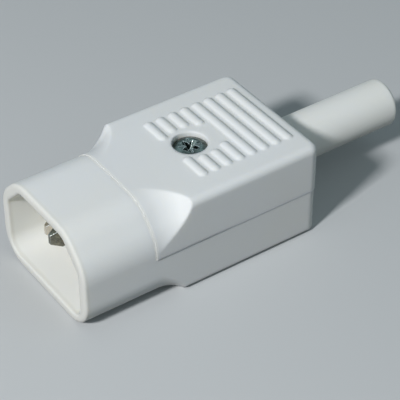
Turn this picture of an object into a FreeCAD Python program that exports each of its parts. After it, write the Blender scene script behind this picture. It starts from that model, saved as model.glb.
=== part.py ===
import FreeCAD, Part
import math
import os

Vec = FreeCAD.Vector
ALONG = Vec(1, 0, 0)

# Rewireable in-line power plug, in millimetres, standing on the flat underside of its base.
# Stations along X are counted from the rim of the shroud; the finished pieces are centred on X = 0.

# Contact recess inside the shroud
recess_width = 25.0
recess_height = 16.2
recess_depth = 19.0
recess_chamfer = 5.0
recess_blend = 2.5
recess_corner = 3.0
mouth_chamfer = 0.25

# Shroud around the recess
wall_side = 2.1
wall_top = 2.0
wall_bottom = 2.0
shroud_chamfer = 5.9
shroud_blend = 7.5
shroud_corner = 6.1
rim_chamfer = 0.35

# Two-part housing behind the shroud
seam_station = 15.3
split_height = 10.2
pin_wall = 3.0
chamber_length = 24.3
collar_lip = 1.6
rear_wall = 2.4
housing_wall = 2.2
roof_wall = 2.2
floor_wall = 2.2
body_edge_radius = 1.4
foot_chamfer = 0.8
rear_corner_radius = 2.0
cover_proud = 0.12
lap_depth = 1.15
lap_clearance = 0.1
flare_gap = 1.8
flare_lean = 0.23
foot_flare_gap = 0.9
flare_run = 6.0
flare_rise = 3.8

# Blades and terminal blocks
pin_thickness = 2.0
pin_width = 4.0
pin_spread = 7.0
earth_offset = 4.0
contact_drop = 0.35
line_setback = 4.6
earth_setback = 1.6
tip_length = 2.1
tip_thickness = 0.7
tip_width = 2.0
slot_clearance = 0.05
block_length = 5.6
block_width = 5.0
block_height = 7.0
wire_hole_radius = 1.4
wire_stop = 1.0
partition_thickness = 1.0
pedestal_width = 4.0
hold_down_thickness = 0.9

# Terminal screws
terminal_shank_radius = 1.5
terminal_shank_length = 3.4
terminal_head_radius = 2.0
terminal_head_height = 1.5
terminal_head_lift = 0.6
terminal_edge = 0.3
driver_slot_width = 0.7
driver_slot_depth = 0.8

# Cover screw, its recess and its bosses
screw_offset = 10.6
screw_head_radius = 3.2
screw_head_height = 2.0
screw_crown_radius = 2.3
screw_dome = 0.35
screw_sink = 0.6
screw_shank_radius = 1.75
screw_length = 14.5
cross_turn = 25.0
cross_span = 4.2
cross_width = 1.1
cross_root_span = 1.3
cross_root_width = 0.75
cross_depth = 1.5
tick_span = 4.4
tick_width = 0.25
tick_depth = 0.2
counterbore_clearance = 0.25
thread_clearance = 0.05
blind_gap = 0.5
shank_clearance = 0.2
seat_thickness = 1.6
boss_wall = 1.5
counterbore_wall = 1.2

# Grip ribs on the cover
rib_count = 8
rib_pitch = 2.76
rib_lead = 3.3
rib_length = 19.8
rib_width = 2.0
rib_height = 0.5
rib_end_slope = 0.8
split_ribs = 4
rib_clear_along = 6.2
rib_clear_across = 4.3

# Cord sleeve
sleeve_radius = 4.93
sleeve_bore_radius = 3.5
sleeve_free_length = 27.8
sleeve_end_chamfer = 0.5
flange_half = 6.3
flange_thickness = 1.5
sleeve_clearance = 0.1
cord_lift = 0.2

# Cord clamp
clamp_setback = 4.2
clamp_width = 5.0
clamp_lug_height = 2.4
clamp_bridge_height = 4.8
clamp_head_gap = 0.4
clamp_screw_inset = 4.2
clamp_seat = 11.0
clamp_groove_radius = 3.3
clamp_screw_radius = 1.45
clamp_screw_head_radius = 2.6
clamp_screw_head_height = 1.7
clamp_screw_length = 9.0
clamp_end_gap = 0.9
cradle_height = 6.2

# Sizes that follow from the ones above
body_width = recess_width + 2 * wall_side
body_height = wall_bottom + recess_height + wall_top
half_width = body_width / 2
keyed_gain = 2 - math.sqrt(2)
pin_wall_rear = recess_depth + pin_wall
bulkhead = pin_wall_rear + chamber_length
groove_length = flange_thickness + 2 * sleeve_clearance
groove_station = bulkhead + collar_lip
rear_station = groove_station + groove_length + rear_wall
overall_length = rear_station + sleeve_free_length
chamber_half = half_width - housing_wall
roof_height = body_height + cover_proud - roof_wall
recess_middle = wall_bottom + recess_height / 2
contact_middle = recess_middle - contact_drop
line_height = contact_middle - earth_offset / 2
earth_height = contact_middle + earth_offset / 2
screw_station = pin_wall_rear + screw_offset
screw_top = body_height + cover_proud - screw_sink
screw_seat = screw_top - screw_head_height
screw_tip = screw_seat - screw_length
boss_radius = screw_shank_radius + thread_clearance + boss_wall
counterbore_radius = screw_head_radius + counterbore_clearance
axis_height = split_height + cord_lift
clamp_station = bulkhead - clamp_setback
clamp_spread = chamber_half - clamp_screw_inset
clamp_bridge_half = clamp_spread - clamp_screw_head_radius - clamp_head_gap
block_rear = pin_wall_rear + block_length
terminal_station = block_rear - terminal_head_radius - terminal_edge
reach = 2 * overall_length
overshoot = 1.0


PINS = ("live", "neutral", "earth")


def block(x0, x1, y0, y1, z0, z1):
    """Box between two corners."""
    return Part.makeBox(x1 - x0, y1 - y0, z1 - z0, Vec(x0, y0, z0))


def post(radius, x, y, z0, z1):
    """Upright cylinder."""
    return Part.makeCylinder(radius, z1 - z0, Vec(x, y, z0))


def rod(radius, x0, x1):
    """Cylinder on the axis of the cord."""
    return Part.makeCylinder(radius, x1 - x0, Vec(x0, 0, axis_height), ALONG)


def rounded_outline(corners):
    """Closed wire through (point, radius) corners; a radius of zero leaves the corner sharp."""
    count = len(corners)
    rounds = []
    for i, (here, radius) in enumerate(corners):
        back = (corners[i - 1][0] - here).normalize()
        ahead = (corners[(i + 1) % count][0] - here).normalize()
        half = back.getAngle(ahead) / 2
        tangent = radius / math.tan(half)
        middle = here + (back + ahead).normalize() * (radius / math.sin(half) - radius)
        rounds.append((here + back * tangent, middle, here + ahead * tangent))
    edges = []
    for i, (start, middle, end) in enumerate(rounds):
        if corners[i][1] > 0:
            edges.append(Part.Arc(start, middle, end).toShape())
        edges.append(Part.makeLine(end, rounds[(i + 1) % count][0]))
    return Part.Wire(edges)


def keyed_corners(inset):
    """Half width, floor, top, chamfer, blend and corner radius of the shroud, drawn in by an inset."""
    chamfer = shroud_chamfer - keyed_gain * inset
    blend = shroud_blend - inset
    corner = shroud_corner - inset
    return half_width - inset, inset, body_height - inset, chamfer, blend, corner


def keyed_bar(sizes, x0, x1):
    """Bar with the keyed outline: two cut corners above, two round corners below."""
    half, floor, top, chamfer, blend, corner = sizes
    right = [
        (Vec(x0, half, floor), corner),
        (Vec(x0, half, top - chamfer), blend),
        (Vec(x0, half - chamfer, top), blend),
    ]
    left = [(Vec(p.x, -p.y, p.z), radius) for p, radius in reversed(right)]
    return Part.Face(rounded_outline(right + left)).extrude(Vec(x1 - x0, 0, 0))


def recess_sizes():
    """Keyed sizes of the contact recess."""
    top = wall_bottom + recess_height
    return recess_width / 2, wall_bottom, top, recess_chamfer, recess_blend, recess_corner


def flare_profile(y, z, radius, angle, front, start):
    """Face outside the flare, standing out at an angle from an axis along X."""
    out = Vec(0, math.cos(angle), math.sin(angle))
    end = start + flare_run
    beyond = 2 * flare_rise

    def at(x, rise):
        return Vec(x, y, z) + out * (radius + rise)

    hollow = Part.Ellipse(at(end, flare_rise), at(start, 0), at(start, flare_rise))
    edges = [
        Part.ArcOfEllipse(hollow, 0, math.pi / 2).toShape(),
        Part.makeLine(at(start, 0), at(front, 0)),
        Part.makeLine(at(front, 0), at(front, beyond)),
        Part.makeLine(at(front, beyond), at(end, beyond)),
        Part.makeLine(at(end, beyond), at(end, flare_rise)),
    ]
    return Part.Face(Part.Wire(edges))


def flares(grow, front):
    """What is cut from the square body so that the shroud's corners run out into it."""
    half, floor, top, chamfer, blend, corner = keyed_corners(-grow)
    tangent = blend * math.tan(math.pi / 8)
    low = Vec(0, half - blend, top - chamfer - tangent)
    high = Vec(0, half - chamfer - tangent, top - blend)
    foot = Vec(0, half - corner, floor + corner)
    start = seam_station + flare_gap
    upper = [
        flare_profile(low.y, low.z, blend, 0, front, start).revolve(low, ALONG, 45),
        flare_profile(low.y, low.z, blend, math.pi / 4, front, start).extrude(high - low),
        flare_profile(high.y, high.z, blend, math.pi / 4, front, start).revolve(high, ALONG, 45),
    ]
    start = seam_station + foot_flare_gap
    lower = flare_profile(foot.y, foot.z, corner, -math.pi / 2, front, start).revolve(foot, ALONG, 90)
    right = [leaned(piece) for piece in upper] + [lower]
    left = [piece.mirror(Vec(0, 0, 0), Vec(0, 1, 0)) for piece in right]
    return right + left


def leaned(piece):
    """A cutter slid forward, the more the lower it lies, so that the flare starts further back on top."""
    slide = FreeCAD.Matrix()
    slide.A13 = flare_lean
    slide.A14 = -flare_lean * body_height
    return piece.transformGeometry(slide)


def envelope(grow, front):
    """Outer form of the body from a station to its rear face, grown by a little on all sides but below."""
    half = half_width + grow
    top = body_height + grow
    rear = rear_station + grow
    plan = rounded_outline([
        (Vec(front, -half, -grow), 0),
        (Vec(rear, -half, -grow), rear_corner_radius),
        (Vec(rear, half, -grow), rear_corner_radius),
        (Vec(front, half, -grow), 0),
    ])
    body = Part.Face(plan).extrude(Vec(0, 0, top + grow))
    body = body.makeFillet(body_edge_radius, level_edges(body, top, front))
    body = body.makeChamfer(foot_chamfer, level_edges(body, -grow, front))
    return body.cut(flares(grow, front - overshoot))


def level_edges(body, height, front):
    """Edges at a height, apart from the one across the front."""
    edges = []
    for edge in body.Edges:
        box = edge.BoundBox
        if abs(box.ZMin - height) < 1e-6 and box.ZLength < 1e-6 and box.XMax > front + 1e-6:
            edges.append(edge)
    return edges


def pin_place(name):
    """Y, height and tip station of a blade."""
    places = {
        "live": (-pin_spread, line_height, line_setback),
        "neutral": (pin_spread, line_height, line_setback),
        "earth": (0, earth_height, earth_setback),
    }
    return places[name]


def base_housing():
    """Lower half of the body, moulded in one with the shroud and the wall that carries the blades."""
    shroud = keyed_bar(keyed_corners(0), 0, seam_station)
    neck = keyed_bar(keyed_corners(lap_depth), seam_station - lap_depth, pin_wall_rear)
    body = envelope(0, seam_station)
    body = body.cut(block(-reach, reach, -reach, reach, split_height, reach))
    body = body.multiFuse([shroud, neck])
    chamber = block(pin_wall_rear, bulkhead, -chamber_half, chamber_half, floor_wall, reach)
    body = body.cut([keyed_bar(recess_sizes(), -overshoot, recess_depth), chamber])
    body = body.multiFuse(terminal_supports() + clamp_supports() + [screw_boss()])
    holes = [pin_slot(name) for name in PINS]
    holes.append(rod(sleeve_radius + sleeve_clearance, bulkhead - overshoot, reach))
    holes.append(flange_groove())
    holes.append(post(screw_shank_radius + thread_clearance, screw_station, 0, screw_tip - blind_gap, reach))
    for side in (-1, 1):
        pilot = clamp_screw_radius + thread_clearance
        bottom = clamp_seat + clamp_lug_height - clamp_screw_length - blind_gap
        holes.append(post(pilot, clamp_station, side * clamp_spread, bottom, reach))
    body = body.cut(holes).removeSplitter()
    rim = [e for e in body.Edges if e.BoundBox.XMax < 1e-4 and not inside_recess(e)]
    body = body.makeChamfer(rim_chamfer, rim)
    mouth = [e for e in body.Edges if e.BoundBox.XMax < 1e-4 and inside_recess(e)]
    return body.makeChamfer(mouth_chamfer, mouth)


def inside_recess(edge):
    """Whether an edge of the rim belongs to the mouth of the recess."""
    box = edge.BoundBox
    across = max(abs(box.YMin), abs(box.YMax)) < recess_width / 2 + 1e-3
    up = box.ZMin > wall_bottom - 1e-3 and box.ZMax < wall_bottom + recess_height + 1e-3
    return across and up


def screw_boss():
    """Boss in the base that takes the cover screw."""
    return post(boss_radius, screw_station, 0, floor_wall, split_height)


def terminal_supports():
    """Pedestals under the terminal blocks and the insulating walls between them."""
    supports = []
    for name in PINS:
        y, z, _ = pin_place(name)
        half = pedestal_width / 2
        top = z - block_height / 2
        supports.append(block(pin_wall_rear, block_rear, y - half, y + half, floor_wall, top))
    half = partition_thickness / 2
    for y in (-pin_spread / 2, pin_spread / 2):
        supports.append(block(pin_wall_rear, block_rear, y - half, y + half, floor_wall, earth_height))
    return supports


def clamp_supports():
    """Bosses for the clamp screws and the cradle that the cord lies in."""
    pillar = clamp_screw_radius + thread_clearance + boss_wall
    half = clamp_width / 2
    x0 = clamp_station - half
    x1 = clamp_station + half
    supports = []
    for y in (-clamp_spread, clamp_spread):
        supports.append(block(x0, x1, y - pillar, y + pillar, floor_wall, clamp_seat))
    wide = clamp_groove_radius + boss_wall
    cradle = block(x0, x1, -wide, wide, floor_wall, floor_wall + cradle_height)
    supports.append(cradle.cut(rod(clamp_groove_radius, x0 - overshoot, x1 + overshoot)))
    return supports


def pin_slot(name):
    """Slot in the pin wall for a blade."""
    y, z, _ = pin_place(name)
    across = pin_thickness / 2 + slot_clearance
    up = pin_width / 2 + slot_clearance
    return block(recess_depth - overshoot, pin_wall_rear + overshoot, y - across, y + across, z - up, z + up)


def flange_groove():
    """Groove in the bulkhead that traps the square flange of the sleeve."""
    half = flange_half + sleeve_clearance
    end = groove_station + groove_length
    return block(groove_station, end, -half, half, axis_height - half, axis_height + half)


def cover():
    """Upper half of the body, lapping over the neck of the base, with its grip ribs."""
    shell = envelope(cover_proud, seam_station)
    shell = shell.cut(block(-reach, reach, -reach, reach, -reach, split_height))
    neck_room = keyed_corners(lap_depth - lap_clearance)
    chamber = block(pin_wall_rear, bulkhead, -chamber_half, chamber_half, -reach, roof_height)
    shell = shell.cut([keyed_bar(neck_room, 0, pin_wall_rear + lap_clearance), chamber])
    seat = screw_seat - seat_thickness
    inside = [
        post(counterbore_radius + counterbore_wall, screw_station, 0, seat, roof_height),
        post(boss_radius, screw_station, 0, split_height, roof_height),
    ]
    shell = shell.multiFuse(inside + hold_downs() + grip_ribs())
    holes = [
        post(counterbore_radius, screw_station, 0, screw_seat, reach),
        post(screw_shank_radius + shank_clearance, screw_station, 0, 0, reach),
        rod(sleeve_radius + sleeve_clearance, bulkhead - overshoot, reach),
        flange_groove(),
        sleeve_legs(),
    ]
    return shell.cut(holes).removeSplitter()


def sleeve_legs():
    """Straight sides of the notch in the cover, from the cord axis down to the split."""
    half = sleeve_radius + sleeve_clearance
    return block(bulkhead - overshoot, reach, -half, half, 0, axis_height)


def hold_downs():
    """Ribs inside the cover that press on the terminal blocks."""
    ribs = []
    for name in PINS:
        y, z, _ = pin_place(name)
        half = pedestal_width / 2
        top = z + block_height / 2
        x0 = pin_wall_rear + lap_clearance
        ribs.append(block(x0, x0 + hold_down_thickness, y - half, y + half, top, roof_height))
    return ribs


def grip_ribs():
    """Half-round ribs across the cover; the first few are split to clear an oval round the screw."""
    first = screw_station - rib_lead
    middle = first + (split_ribs - 1) * rib_pitch / 2
    end = rib_length / 2
    ribs = []
    for i in range(rib_count):
        station = first + i * rib_pitch
        spans = [(-end, end)]
        if i < split_ribs:
            gap = rib_clear_across * math.sqrt(1 - ((station - middle) / rib_clear_along) ** 2)
            spans = [(-end, -gap), (gap, end)]
        ribs += [grip_rib(station, y0, y1) for y0, y1 in spans]
    return ribs


def grip_rib(station, y0, y1):
    """One rib: the part of a bar with cone ends that stands above the cover."""
    surface = body_height + cover_proud
    radius = (rib_width ** 2 / 4 + rib_height ** 2) / (2 * rib_height)
    depth = surface + rib_height - radius
    slope = rib_height / rib_end_slope
    outline = [
        Vec(station, y0 - slope, depth),
        Vec(station, y0 - slope, depth + radius - 2 * rib_height),
        Vec(station, y0 + slope, depth + radius),
        Vec(station, y1 - slope, depth + radius),
        Vec(station, y1 + slope, depth + radius - 2 * rib_height),
        Vec(station, y1 + slope, depth),
    ]
    bar = Part.Face(Part.makePolygon(outline + outline[:1])).revolve(outline[0], Vec(0, 1, 0), 360)
    above = block(station - radius, station + radius, y0 - slope, y1 + slope, surface - rib_height / 2, reach)
    return bar.common(above)


def frustum(first, second):
    """Solid with flat sides between two outlines of four corners."""
    outlines = [first, second]
    for i in range(4):
        j = (i + 1) % 4
        outlines.append([first[i], first[j], second[j], second[i]])
    faces = [Part.Face(Part.makePolygon(points + points[:1])) for points in outlines]
    return Part.makeSolid(Part.makeShell(faces))


def upright_corners(x, y, z, across, up):
    """Corners of a rectangle across X, centred on a point."""
    steps = [(-0.5, -0.5), (0.5, -0.5), (0.5, 0.5), (-0.5, 0.5)]
    return [Vec(x, y + a * across, z + b * up) for a, b in steps]


def pin(name):
    """Blade with a tapered tip and, behind the pin wall, its terminal block."""
    y, z, tip = pin_place(name)
    shoulder = tip + tip_length
    point = frustum(
        upright_corners(tip, y, z, tip_thickness, tip_width),
        upright_corners(shoulder, y, z, pin_thickness, pin_width),
    )
    half = pin_thickness / 2
    blade = block(shoulder, pin_wall_rear, y - half, y + half, z - pin_width / 2, z + pin_width / 2)
    wide = block_width / 2
    tall = block_height / 2
    body = block(pin_wall_rear, block_rear, y - wide, y + wide, z - tall, z + tall)
    wire_end = Vec(pin_wall_rear + wire_stop, y, z)
    wire_hole = Part.makeCylinder(wire_hole_radius, block_length, wire_end, ALONG)
    thread = post(terminal_shank_radius + thread_clearance, terminal_station, y, z, reach)
    return body.multiFuse([blade, point]).cut([wire_hole, thread]).removeSplitter()


def terminal_screw(name):
    """Slotted screw that closes on the wire in a terminal block."""
    y, z, _ = pin_place(name)
    seat = z + block_height / 2 + terminal_head_lift
    top = seat + terminal_head_height
    head = post(terminal_head_radius, terminal_station, y, seat, top)
    shank = post(terminal_shank_radius, terminal_station, y, seat - terminal_shank_length, seat)
    half = driver_slot_width / 2
    slot = block(0, reach, y - half, y + half, top - driver_slot_depth, reach)
    return head.fuse(shank).cut(slot).removeSplitter()


def cover_screw():
    """Cross-recess screw that holds the cover."""
    x = screw_station
    outline = [
        Vec(x, 0, screw_tip),
        Vec(x + screw_shank_radius, 0, screw_tip),
        Vec(x + screw_shank_radius, 0, screw_seat),
        Vec(x + screw_head_radius, 0, screw_seat),
        Vec(x + screw_head_radius, 0, screw_top - screw_dome),
        Vec(x + screw_crown_radius, 0, screw_top),
        Vec(x, 0, screw_top),
    ]
    body = Part.Face(Part.makePolygon(outline + outline[:1])).revolve(Vec(x, 0, 0), Vec(0, 0, 1), 360)
    wings = [cross_wing(cross_turn), cross_wing(cross_turn + 90)]
    ticks = [tick_groove(cross_turn + 45), tick_groove(cross_turn + 135)]
    return body.cut(wings + ticks)


def cross_wing(turn):
    """One of the two tapered wings of the cross recess."""
    wing = frustum(
        level_corners(screw_top - cross_depth, cross_root_span, cross_root_width),
        level_corners(screw_top + screw_dome, cross_span, cross_width),
    )
    wing.rotate(Vec(screw_station, 0, 0), Vec(0, 0, 1), turn)
    return wing


def tick_groove(turn):
    """Fine groove across the head, between the wings."""
    x0 = screw_station - tick_span / 2
    half = tick_width / 2
    groove = block(x0, x0 + tick_span, -half, half, screw_top - tick_depth, screw_top + screw_dome)
    groove.rotate(Vec(screw_station, 0, 0), Vec(0, 0, 1), turn)
    return groove


def level_corners(z, along, across):
    """Corners of a level rectangle on the axis of the cover screw."""
    steps = [(-0.5, -0.5), (0.5, -0.5), (0.5, 0.5), (-0.5, 0.5)]
    return [Vec(screw_station + a * along, b * across, z) for a, b in steps]


def cord_clamp():
    """Moulded bar over the cord, with a lug for a screw at each end."""
    half = clamp_width / 2
    length = chamber_half - clamp_end_gap
    x0 = clamp_station - half
    x1 = clamp_station + half
    lug_top = clamp_seat + clamp_lug_height
    bridge_top = clamp_seat + clamp_bridge_height
    lugs = block(x0, x1, -length, length, clamp_seat, lug_top)
    bridge = block(x0, x1, -clamp_bridge_half, clamp_bridge_half, clamp_seat, bridge_top)
    holes = [rod(clamp_groove_radius, x0 - overshoot, x1 + overshoot)]
    for side in (-1, 1):
        holes.append(post(clamp_screw_radius + shank_clearance, clamp_station, side * clamp_spread, 0, reach))
    return lugs.fuse(bridge).cut(holes).removeSplitter()


def clamp_screw(side):
    """Slotted screw of the cord clamp."""
    y = side * clamp_spread
    seat = clamp_seat + clamp_lug_height
    top = seat + clamp_screw_head_height
    head = post(clamp_screw_head_radius, clamp_station, y, seat, top)
    shank = post(clamp_screw_radius, clamp_station, y, seat - clamp_screw_length, seat)
    half = driver_slot_width / 2
    slot = block(0, reach, y - half, y + half, top - driver_slot_depth, reach)
    return head.fuse(shank).cut(slot).removeSplitter()


def bend_sleeve():
    """Soft sleeve round the cord, with a square flange trapped in the bulkhead."""
    start = groove_station + sleeve_clearance
    low = axis_height - flange_half
    high = axis_height + flange_half
    flange = block(start, start + flange_thickness, -flange_half, flange_half, low, high)
    sleeve = rod(sleeve_radius, start, overall_length).fuse(flange)
    end = [e for e in sleeve.Edges if e.BoundBox.XMin > overall_length - 1e-4]
    sleeve = sleeve.makeChamfer(sleeve_end_chamfer, end)
    return sleeve.cut(rod(sleeve_bore_radius, bulkhead - overshoot, reach))


def pieces():
    """Every piece of the plug by name."""
    made = {
        "base_housing": base_housing(),
        "cover": cover(),
        "cover_screw": cover_screw(),
        "cord_clamp": cord_clamp(),
        "clamp_screw_left": clamp_screw(1),
        "clamp_screw_right": clamp_screw(-1),
        "bend_sleeve": bend_sleeve(),
    }
    for name in PINS:
        made[name + "_pin"] = pin(name)
        made[name + "_terminal_screw"] = terminal_screw(name)
    return made


def main():
    os.makedirs("parts", exist_ok=True)
    for name, shape in pieces().items():
        shape.translate(Vec(-overall_length / 2, 0, 0))
        shape.exportStep("parts/" + name + ".step")
        print(name, len(shape.Solids), shape.isValid(), round(shape.Volume, 1))


main()
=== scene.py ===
import math

import bpy
from mathutils import Matrix, Vector


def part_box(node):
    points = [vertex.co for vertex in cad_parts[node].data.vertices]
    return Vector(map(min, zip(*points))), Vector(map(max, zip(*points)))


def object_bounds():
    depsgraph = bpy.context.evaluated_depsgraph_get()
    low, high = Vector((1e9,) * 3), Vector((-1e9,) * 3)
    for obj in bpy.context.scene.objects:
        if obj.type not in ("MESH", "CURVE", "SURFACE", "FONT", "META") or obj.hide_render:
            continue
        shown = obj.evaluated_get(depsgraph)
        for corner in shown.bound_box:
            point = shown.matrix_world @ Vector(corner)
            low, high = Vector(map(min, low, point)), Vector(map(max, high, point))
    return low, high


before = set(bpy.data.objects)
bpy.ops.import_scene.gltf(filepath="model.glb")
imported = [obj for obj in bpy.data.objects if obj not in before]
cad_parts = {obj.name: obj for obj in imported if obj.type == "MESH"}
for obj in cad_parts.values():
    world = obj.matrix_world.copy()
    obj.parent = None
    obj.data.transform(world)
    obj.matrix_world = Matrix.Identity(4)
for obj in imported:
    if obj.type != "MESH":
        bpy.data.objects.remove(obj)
cad_low, cad_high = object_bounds()

MM = 0.001

# Places on the plug, read from the frame
MIDDLE = (cad_low + cad_high) / 2
RIM_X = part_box("base_housing")[0].x
SEAM_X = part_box("cover")[0].x
SPLIT_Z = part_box("cover")[0].z

# Camera
VIEW_AZIMUTH = math.radians(-34.66)
VIEW_ELEVATION = math.radians(38.99)
VIEW_ROLL = math.radians(-0.25)
VIEW_DISTANCE = 310.3 * MM
VIEW_TARGET = Vector((-8.36, -4.78, 10.24)) * MM
FOCAL_PIXELS = 1650.0
PICTURE_SIDE = 400
SENSOR_WIDTH = 36.0

# Studio, in metres and watts; a lamp stands in a direction from the middle of the plug
KEY_FROM = Vector((-0.755, -0.244, 0.618))
KEY_DISTANCE = 0.7
KEY_SIZE = 0.08
KEY_POWER = 4.05
KEY_COLOUR = (0.93, 0.94, 0.98)
FILL_FROM = Vector((0.35, -0.55, 0.76))
FILL_DISTANCE = 0.8
FILL_SIZE = 0.6
FILL_POWER = 0.45
FILL_COLOUR = (0.77, 0.92, 1.0)
ROOM_LIGHT = 0.165
ROOM_SHOWN = 0.85
ROOM_COLOUR = (0.73, 0.91, 1.0, 1.0)
FLOOR_SIDE = 6.0
FLOOR_SHOWN = (0.62, 0.63, 0.62, 1.0)
FLOOR_BOUNCE = (0.16, 0.16, 0.16, 1.0)
FLOOR_ROUGHNESS = 0.85

# Linear colours of the plastic
HOUSING_WHITE = (0.86, 0.87, 0.85, 1.0)
HOUSING_CREAM = (0.86, 0.86, 0.82, 1.0)
# Dust colour, also painted shade in the occluded corners
HOUSING_DUST_AND_SHADE = (0.60, 0.58, 0.50, 1.0)
# Brighter cream inside the recess: painted bounce light between its white walls
RECESS_BOUNCE_LIGHT = (0.97, 0.965, 0.89, 1.0)
RIM_CREAM = (0.775, 0.765, 0.70, 1.0)
# Lighter line along the seam: painted highlight
SEAM_HIGHLIGHT = (0.98, 0.965, 0.89, 1.0)
# Lighter line along the split: painted highlight
SPLIT_HIGHLIGHT = (0.97, 0.97, 0.96, 1.0)
SLEEVE_WHITE = (0.97, 0.96, 0.885, 1.0)
SLEEVE_CREAM = (0.965, 0.95, 0.86, 1.0)
SLEEVE_DUST_AND_SHADE = (0.52, 0.50, 0.45, 1.0)
CLAMP_WHITE = (0.74, 0.74, 0.72, 1.0)
CLAMP_CREAM = (0.72, 0.70, 0.64, 1.0)

# Linear colours of the metal; dark ones are dull patches and painted shade in corners, bright ones painted
# edge highlights
NICKEL = (0.72, 0.66, 0.57, 1.0)
NICKEL_PATCH_AND_SHADE = (0.42, 0.37, 0.30, 1.0)
# Earth blade's nickel, painted darker: painted reflection dimmer than the line blades'
EARTH_NICKEL_DARKENED = (0.33, 0.325, 0.265, 1.0)
EARTH_NICKEL_PATCH_AND_SHADE = (0.10, 0.09, 0.075, 1.0)
NICKEL_EDGE_HIGHLIGHT = (0.95, 0.93, 0.88, 1.0)
# Zinc painted dark, with dark mottle: painted reflection of a dim room
ZINC_DARKENED_REFLECTION = (0.165, 0.205, 0.19, 1.0)
ZINC_PATCH_AND_SHADE = (0.025, 0.034, 0.03, 1.0)
ZINC_EDGE_GLINT = (0.80, 0.86, 0.85, 1.0)
TERMINAL = (0.58, 0.57, 0.52, 1.0)
TERMINAL_PATCH_AND_SHADE = (0.20, 0.19, 0.16, 1.0)
TERMINAL_EDGE_HIGHLIGHT = (0.88, 0.87, 0.83, 1.0)

# Bands on the housing: those of the rim and the recess are measured back from the rim
RIM_FADE_FROM = 0.3 * MM
RIM_FADE_TO = 1.2 * MM
RECESS_FADE_FROM = 0.5 * MM
RECESS_FADE_TO = 1.5 * MM
RECESS_DEPTH = 19.2 * MM
RECESS_TURN = 3.0 * MM
SEAM_HALF_WIDTH = 0.25 * MM
SPLIT_EDGE = 0.8 * MM
SPLIT_LINE = 0.2 * MM
# The painted split highlight and the crisp edge are partial at the front and full at the rear
SPLIT_REAR_FROM = -12.0 * MM
SPLIT_REAR_TO = -4.0 * MM
SPLIT_FRONT_SHARE = 0.4
ACROSS_THE_PLUG = (0.0, 1.0, 1.0)

# Skin of the plastic
PLASTIC_EASE = 0.7 * MM
PLASTIC_GLOSS = 0.3
PLASTIC_SPREAD = (1.0, 0.95, 0.85)
PLASTIC_SPREAD_DEPTH = 1.6 * MM
PEEL_STRENGTH = 0.35
DUST_AND_SHADE_SHARE = 0.25
EDGE_POLISH = 0.08

# Skin of the metal
METAL_EDGE = 0.2 * MM
METAL_EASE = 0.2 * MM
METAL_DUST_AND_SHADE_REACH = 0.8 * MM
DRAWN_STRENGTH = 0.4
DRAWN_STRETCH = (0.06, 1.0, 1.0)

# Where a mark starts and where it is full, on a scale of 0 to 1
CLOUD_RANGE = (0.35, 0.65)
PEEL_RANGE = (0.1, 0.9)
PATCH_RANGE = (0.38, 0.64)
DULL_RANGE = (0.0, 0.7)
WEAR_RANGE = (0.35, 0.6)
LEAST_WEAR = 0.25
EDGE_TURN = (0.995, 0.86)
CORNER_SKY = (0.75, 0.2)


def place(tree, kind, sockets=None, **settings):
    """Adds a node; a socket that is given another node's output is linked, and any other takes its value."""
    node = tree.nodes.new(kind)
    for name, value in settings.items():
        setattr(node, name, value)
    for name, value in (sockets or {}).items():
        if isinstance(value, bpy.types.NodeSocket):
            tree.links.new(value, node.inputs[name])
        else:
            node.inputs[name].default_value = value
    return node


def combine(tree, operation, first, second=0.0):
    """Result of a sum on one or two values."""
    return place(tree, "ShaderNodeMath", {0: first, 1: second}, operation=operation).outputs[0]


def combine_vectors(tree, operation, first, second):
    """Outputs of a sum on two vectors."""
    return place(tree, "ShaderNodeVectorMath", {0: first, 1: second}, operation=operation).outputs


def blend_colours(tree, share, first, second):
    """Colour between two, by a share; a mix node takes its colours in sockets 6 and 7."""
    return place(tree, "ShaderNodeMix", {0: share, 6: first, 7: second}, data_type="RGBA").outputs[2]


def blend_directions(tree, share, first, second):
    """Direction between two, by a share; a mix node takes its vectors in sockets 4 and 5."""
    return place(tree, "ShaderNodeMix", {0: share, 4: first, 5: second}, data_type="VECTOR").outputs[1]


def ramp(tree, value, start, end, first=0.0, last=1.0):
    """Goes from first to last while the value goes from start to end, and no further."""
    sockets = {"Value": value, "From Min": start, "From Max": end, "To Min": first, "To Max": last}
    return place(tree, "ShaderNodeMapRange", sockets).outputs[0]


def noise(tree, point, per_metre, detail, roughness):
    """Noise from 0 to 1 that changes so many times in a metre."""
    sockets = {"Vector": point, "Scale": per_metre, "Detail": detail, "Roughness": roughness}
    return place(tree, "ShaderNodeTexNoise", sockets).outputs[0]


def surface_point(tree):
    """Place of a point of the surface."""
    return place(tree, "ShaderNodeTexCoord").outputs["Object"]


def surface_axes(tree):
    """X, Y and Z of a point of the surface."""
    return place(tree, "ShaderNodeSeparateXYZ", {0: surface_point(tree)}).outputs


def surface_facing(tree):
    """Direction that the surface faces, with no edge eased."""
    return place(tree, "ShaderNodeNewGeometry").outputs["Normal"]


def new_group(name, inputs, outputs):
    """Empty node group with float inputs and their usual values, and outputs, of which Normal is a vector."""
    group = bpy.data.node_groups.new(name, "ShaderNodeTree")
    for label, value in inputs.items():
        socket = group.interface.new_socket(label, in_out="INPUT", socket_type="NodeSocketFloat")
        socket.default_value = value
    for label in outputs:
        kind = "NodeSocketVector" if label == "Normal" else "NodeSocketFloat"
        group.interface.new_socket(label, in_out="OUTPUT", socket_type=kind)
    given = group.nodes.new("NodeGroupInput").outputs
    made = group.nodes.new("NodeGroupOutput").inputs
    return group, given, made


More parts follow.
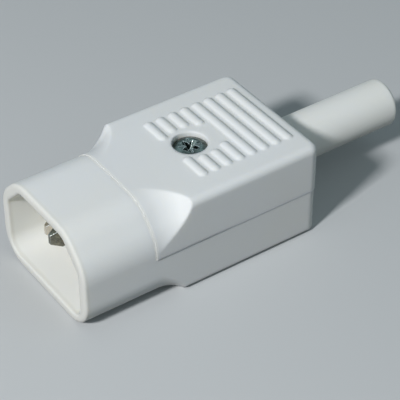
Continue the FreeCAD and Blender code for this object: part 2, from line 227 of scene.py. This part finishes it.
def moulded_skin():
    """Faint orange peel of a moulded surface, and slow changes of tone and gloss across it."""
    inputs = {"Peel Per Metre": 900.0, "Cloud Per Metre": 45.0}
    group, given, made = new_group("moulded_skin", inputs, ("Height", "Tone", "Dullness"))
    point = surface_point(group)
    peel = noise(group, point, given["Peel Per Metre"], detail=3.0, roughness=0.55)
    cloud = noise(group, point, given["Cloud Per Metre"], detail=2.0, roughness=0.5)
    group.links.new(peel, made["Height"])
    group.links.new(ramp(group, cloud, *CLOUD_RANGE), made["Tone"])
    group.links.new(ramp(group, peel, *PEEL_RANGE), made["Dullness"])
    return group


def handled_edges():
    """Masks of the edges that hands and tools rub and of occluded corners, for dust and painted shade,
    and a normal with eased edges."""
    inputs = {
        "Edge Width": 0.25 * MM,
        "Ease Radius": 0.5 * MM,
        "Dust Reach": 1.2 * MM,
        "Patches Per Metre": 260.0,
    }
    group, given, made = new_group("handled_edges", inputs, ("Edges", "Corners", "Normal"))
    bent = place(group, "ShaderNodeBevel", {"Radius": given["Edge Width"]}, samples=6).outputs[0]
    turn = combine_vectors(group, "DOT_PRODUCT", surface_facing(group), bent)["Value"]
    sharp = ramp(group, turn, *EDGE_TURN)
    patches = noise(group, surface_point(group), given["Patches Per Metre"], detail=4.0, roughness=0.6)
    patchy = ramp(group, patches, *WEAR_RANGE, LEAST_WEAR, 1.0)
    # Occlusion finds the corners that the materials darken with dust and painted shade
    open_sky = place(group, "ShaderNodeAmbientOcclusion", {"Distance": given["Dust Reach"]}, samples=8)
    closed = ramp(group, open_sky.outputs["AO"], *CORNER_SKY)
    eased = place(group, "ShaderNodeBevel", {"Radius": given["Ease Radius"]}, samples=8).outputs[0]
    group.links.new(combine(group, "MULTIPLY", sharp, patchy), made["Edges"])
    group.links.new(combine(group, "MULTIPLY", closed, patchy), made["Corners"])
    group.links.new(eased, made["Normal"])
    return group


def tool_marks():
    """Fine lines that a die or a file leaves in metal, along X, with duller patches between them."""
    inputs = {"Lines Per Metre": 2600.0, "Patches Per Metre": 380.0}
    group, given, made = new_group("tool_marks", inputs, ("Height", "Patches", "Dullness"))
    point = surface_point(group)
    drawn = place(group, "ShaderNodeMapping", {"Vector": point, "Scale": DRAWN_STRETCH}).outputs[0]
    lines = noise(group, drawn, given["Lines Per Metre"], detail=2.0, roughness=0.6)
    patches = noise(group, point, given["Patches Per Metre"], detail=5.0, roughness=0.65)
    patchy = ramp(group, patches, *PATCH_RANGE)
    dull = combine(group, "MULTIPLY", patchy, lines)
    group.links.new(lines, made["Height"])
    group.links.new(patchy, made["Patches"])
    group.links.new(ramp(group, dull, *DULL_RANGE), made["Dullness"])
    return group


MOULDED_SKIN = moulded_skin()
HANDLED_EDGES = handled_edges()
TOOL_MARKS = tool_marks()


def new_material(name):
    """Material, with its tree and its shader."""
    material = bpy.data.materials.new(name)
    material.use_nodes = True
    tree = material.node_tree
    return material, tree, tree.nodes["Principled BSDF"]


def use_group(tree, group, **values):
    """Places a group in a material, with its own values, and gives the group's outputs."""
    node = place(tree, "ShaderNodeGroup", node_tree=group)
    for name, value in values.items():
        node.inputs[name.replace("_", " ").title()].default_value = value
    return node.outputs


def near_line(tree, value, line, reach):
    """1 within a reach of a line, fading to 0 at twice the reach."""
    away = combine(tree, "ABSOLUTE", combine(tree, "SUBTRACT", value, line))
    return ramp(tree, away, reach, 2 * reach, 1.0, 0.0)


def seam_highlight_band(tree):
    """1 along the front edge of the cover, above the split, for a painted highlight; 0 elsewhere."""
    spot = surface_axes(tree)
    above = combine(tree, "GREATER_THAN", spot["Z"], SPLIT_Z)
    return combine(tree, "MULTIPLY", near_line(tree, spot["X"], SEAM_X, SEAM_HALF_WIDTH), above)


def split_highlight_masks(tree):
    """Masks of the cover's lower edge and of the painted highlight along the split. Both start at the seam
    with a part share and are full towards the rear."""
    spot = surface_axes(tree)
    behind = combine(tree, "GREATER_THAN", spot["X"], SEAM_X)
    towards_rear = ramp(tree, spot["X"], SPLIT_REAR_FROM, SPLIT_REAR_TO, SPLIT_FRONT_SHARE, 1.0)
    rear = combine(tree, "MULTIPLY", towards_rear, behind)
    edge = near_line(tree, spot["Z"], SPLIT_Z, SPLIT_EDGE)
    line = near_line(tree, spot["Z"], SPLIT_Z, SPLIT_LINE)
    return combine(tree, "MULTIPLY", edge, rear), combine(tree, "MULTIPLY", line, rear)


def rim_band(tree):
    """1 on the front of the rim, fading out behind it."""
    depth = surface_axes(tree)["X"]
    return ramp(tree, depth, RIM_X + RIM_FADE_FROM, RIM_X + RIM_FADE_TO, 1.0, 0.0)


def painted_recess_bounce(tree):
    """1 on the walls of the contact recess, for painted bounce light in cream, and 0 elsewhere."""
    away = combine_vectors(tree, "SUBTRACT", surface_point(tree), MIDDLE)[0]
    across = combine_vectors(tree, "MULTIPLY", away, ACROSS_THE_PLUG)[0]
    outward = combine_vectors(tree, "DOT_PRODUCT", across, surface_facing(tree))["Value"]
    depth = surface_axes(tree)["X"]
    lip = ramp(tree, depth, RIM_X + RECESS_FADE_FROM, RIM_X + RECESS_FADE_TO, RECESS_TURN, 0.0)
    inward = ramp(tree, combine(tree, "ADD", outward, lip), 0.0, RECESS_TURN, 1.0, 0.0)
    front = combine(tree, "LESS_THAN", depth, RIM_X + RECESS_DEPTH)
    return combine(tree, "MULTIPLY", inward, front)


def housing_bands(tree, colour, facing):
    """Colour and normal of the housing with painted bounce light in its recess, a darker cream rim and
    painted highlights along the seam and the split. The seam and the cover's lower edge stay crisp."""
    seam = seam_highlight_band(tree)
    crisp_split_edge, split_highlight_line = split_highlight_masks(tree)
    colour = blend_colours(tree, painted_recess_bounce(tree), colour, RECESS_BOUNCE_LIGHT)
    colour = blend_colours(tree, rim_band(tree), colour, RIM_CREAM)
    colour = blend_colours(tree, seam, colour, SEAM_HIGHLIGHT)
    colour = blend_colours(tree, split_highlight_line, colour, SPLIT_HIGHLIGHT)
    crisp = combine(tree, "MAXIMUM", seam, crisp_split_edge)
    return colour, blend_directions(tree, crisp, facing, surface_facing(tree))


def raise_surface(tree, shader, height, strength, depth, facing):
    """Gives the shader the normal of a surface raised by a height."""
    sockets = {"Strength": strength, "Distance": depth, "Height": height, "Normal": facing}
    tree.links.new(place(tree, "ShaderNodeBump", sockets).outputs[0], shader.inputs["Normal"])


def moulded_plastic(name, white, cream, dust, peel, depth, smooth, rough, spread, bands=None):
    """Moulded plastic: white with a cream cast in places, dust and painted shade in the corners, a faint peel
    in its gloss, and bands of its own where a piece has them."""
    material, tree, shader = new_material(name)
    skin = use_group(tree, MOULDED_SKIN, peel_per_metre=peel)
    rubbed = use_group(tree, HANDLED_EDGES, ease_radius=PLASTIC_EASE)
    tinted = blend_colours(tree, skin["Tone"], white, cream)
    # Occluded corners take dust and painted shade
    corner_dust_and_shade = combine(tree, "MULTIPLY", rubbed["Corners"], DUST_AND_SHADE_SHARE)
    colour = blend_colours(tree, corner_dust_and_shade, tinted, dust)
    facing = rubbed["Normal"]
    if bands:
        colour, facing = bands(tree, colour, facing)
    tree.links.new(colour, shader.inputs["Base Color"])
    dull = ramp(tree, skin["Dullness"], 0.0, 1.0, smooth, rough)
    polish = combine(tree, "MULTIPLY", rubbed["Edges"], EDGE_POLISH)
    tree.links.new(combine(tree, "SUBTRACT", dull, polish), shader.inputs["Roughness"])
    raise_surface(tree, shader, skin["Height"], PEEL_STRENGTH, depth, facing)
    shader.inputs["Specular IOR Level"].default_value = PLASTIC_GLOSS
    shader.inputs["Subsurface Weight"].default_value = spread
    shader.inputs["Subsurface Radius"].default_value = PLASTIC_SPREAD
    shader.inputs["Subsurface Scale"].default_value = PLASTIC_SPREAD_DEPTH
    return material


def plated_metal(name, colour, dark, bright, lines, depth, smooth, rough, patches=380.0, mottle=0.35):
    """Plated metal: drawn lines, dull patches, painted shade in the corners and painted highlights on the
    edges.
    """
    material, tree, shader = new_material(name)
    marks = use_group(tree, TOOL_MARKS, lines_per_metre=lines, patches_per_metre=patches)
    rubbed = use_group(
        tree, HANDLED_EDGES, edge_width=METAL_EDGE, ease_radius=METAL_EASE, dust_reach=METAL_DUST_AND_SHADE_REACH)
    dulled = combine(tree, "MULTIPLY", marks["Patches"], mottle)
    base = blend_colours(tree, dulled, colour, dark)
    # Corners darkened: painted shade
    shaded_corners = blend_colours(tree, rubbed["Corners"], base, dark)
    # Edges lightened: painted highlight
    edge_highlighted = blend_colours(tree, rubbed["Edges"], shaded_corners, bright)
    tree.links.new(edge_highlighted, shader.inputs["Base Color"])
    dull = ramp(tree, marks["Dullness"], 0.0, 1.0, smooth, rough)
    tree.links.new(dull, shader.inputs["Roughness"])
    raise_surface(tree, shader, marks["Height"], DRAWN_STRENGTH, depth, rubbed["Normal"])
    shader.inputs["Metallic"].default_value = 1.0
    return material


def white_housing():
    """Satin white plastic of the base and the cover."""
    return moulded_plastic(
        "white_housing", HOUSING_WHITE, HOUSING_CREAM, HOUSING_DUST_AND_SHADE,
        peel=900.0, depth=0.03 * MM, smooth=0.5, rough=0.6, spread=0.45, bands=housing_bands)


def soft_sleeve():
    """Warm white vinyl of the cord sleeve."""
    return moulded_plastic(
        "soft_sleeve", SLEEVE_WHITE, SLEEVE_CREAM, SLEEVE_DUST_AND_SHADE,
        peel=1500.0, depth=0.05 * MM, smooth=0.5, rough=0.62, spread=0.4)


def clamp_moulding():
    """Greyer plastic of the cord clamp."""
    return moulded_plastic(
        "clamp_moulding", CLAMP_WHITE, CLAMP_CREAM, SLEEVE_DUST_AND_SHADE,
        peel=1100.0, depth=0.04 * MM, smooth=0.4, rough=0.52, spread=0.2)


def line_blade():
    """Warm nickel plate of the two line blades."""
    return plated_metal(
        "line_blade", NICKEL, NICKEL_PATCH_AND_SHADE, NICKEL_EDGE_HIGHLIGHT,
        lines=2600.0, depth=0.01 * MM, smooth=0.18, rough=0.34)


def earth_blade():
    """Nickel plate of the earth blade, painted darker as a dimmer painted reflection."""
    return plated_metal(
        "earth_blade", EARTH_NICKEL_DARKENED, EARTH_NICKEL_PATCH_AND_SHADE, NICKEL_EDGE_HIGHLIGHT,
        lines=2600.0, depth=0.01 * MM, smooth=0.18, rough=0.34, mottle=0.6)


def zinc_screw():
    """Zinc plate of the cover screw and the clamp screws, painted dark and mottled as a painted reflection of
    a dim room.
    """
    return plated_metal(
        "zinc_screw", ZINC_DARKENED_REFLECTION, ZINC_PATCH_AND_SHADE, ZINC_EDGE_GLINT,
        lines=2400.0, depth=0.05 * MM, smooth=0.2, rough=0.38, patches=1100.0, mottle=0.9)


def terminal_screw():
    """Nickel plate of the wire screws."""
    return plated_metal(
        "terminal_screw", TERMINAL, TERMINAL_PATCH_AND_SHADE, TERMINAL_EDGE_HIGHLIGHT,
        lines=3000.0, depth=0.012 * MM, smooth=0.24, rough=0.42)


FINISHES = {
    white_housing: ("base_housing", "cover"),
    soft_sleeve: ("bend_sleeve",),
    clamp_moulding: ("cord_clamp",),
    line_blade: ("live_pin", "neutral_pin"),
    earth_blade: ("earth_pin",),
    zinc_screw: ("cover_screw", "clamp_screw_left", "clamp_screw_right"),
    terminal_screw: ("live_terminal_screw", "neutral_terminal_screw", "earth_terminal_screw"),
}


def dress():
    """Gives every piece its finish."""
    for finish, names in FINISHES.items():
        material = finish()
        for name in names:
            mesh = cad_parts[name].data
            mesh.materials.clear()
            mesh.materials.append(material)


def shown_share(tree):
    """1 for what the camera, a reflection or a clear piece sees, and 0 for light that spreads."""
    path = place(tree, "ShaderNodeLightPath").outputs
    seen = combine(tree, "MAXIMUM", path["Is Camera Ray"], path["Is Glossy Ray"])
    return combine(tree, "MAXIMUM", seen, path["Is Transmission Ray"])


def floor():
    """Pale floor under the plug."""
    half = FLOOR_SIDE / 2
    mesh = bpy.data.meshes.new("floor")
    corners = [(-half, -half), (half, -half), (half, half), (-half, half)]
    mesh.from_pydata([(x, y, cad_low.z) for x, y in corners], [], [(0, 1, 2, 3)])
    material, tree, shader = new_material("pale_floor")
    colour = blend_colours(tree, shown_share(tree), FLOOR_BOUNCE, FLOOR_SHOWN)
    tree.links.new(colour, shader.inputs["Base Color"])
    shader.inputs["Roughness"].default_value = FLOOR_ROUGHNESS
    mesh.materials.append(material)
    board = bpy.data.objects.new("floor", mesh)
    bpy.context.scene.collection.objects.link(board)


def lamp(name, direction, distance, size, power, colour):
    """Square soft light that faces the middle of the plug."""
    light = bpy.data.lights.new(name, "AREA")
    light.energy = power
    light.size = size
    light.color = colour
    stand = bpy.data.objects.new(name, light)
    stand.location = MIDDLE + direction.normalized() * distance
    stand.rotation_euler = direction.to_track_quat("Z", "Y").to_euler()
    bpy.context.scene.collection.objects.link(stand)


def room():
    """Even light from all round."""
    world = bpy.data.worlds.new("room")
    bpy.context.scene.world = world
    world.use_nodes = True
    tree = world.node_tree
    background = tree.nodes["Background"].inputs
    strength = ramp(tree, shown_share(tree), 0.0, 1.0, ROOM_LIGHT, ROOM_SHOWN)
    tree.links.new(strength, background["Strength"])
    background["Color"].default_value = ROOM_COLOUR


def camera():
    """Camera at the photograph's angle."""
    lens = bpy.data.cameras.new("camera")
    lens.sensor_width = SENSOR_WIDTH
    lens.lens = FOCAL_PIXELS / PICTURE_SIDE * SENSOR_WIDTH
    level = math.cos(VIEW_ELEVATION)
    back = Vector((
        math.sin(VIEW_AZIMUTH) * level,
        -math.cos(VIEW_AZIMUTH) * level,
        math.sin(VIEW_ELEVATION),
    ))
    upright_right = Vector((math.cos(VIEW_AZIMUTH), math.sin(VIEW_AZIMUTH), 0.0))
    right = Matrix.Rotation(VIEW_ROLL, 3, back) @ upright_right
    up = back.cross(right)
    turn = Matrix((right, up, back)).transposed().to_4x4()
    eye = bpy.data.objects.new("camera", lens)
    eye.matrix_world = Matrix.Translation(VIEW_TARGET + back * VIEW_DISTANCE) @ turn
    bpy.context.scene.collection.objects.link(eye)
    bpy.context.scene.camera = eye


dress()
floor()
lamp("key", KEY_FROM, KEY_DISTANCE, KEY_SIZE, KEY_POWER, KEY_COLOUR)
lamp("fill", FILL_FROM, FILL_DISTANCE, FILL_SIZE, FILL_POWER, FILL_COLOUR)
room()
camera()
bpy.context.scene.view_settings.view_transform = "Standard"
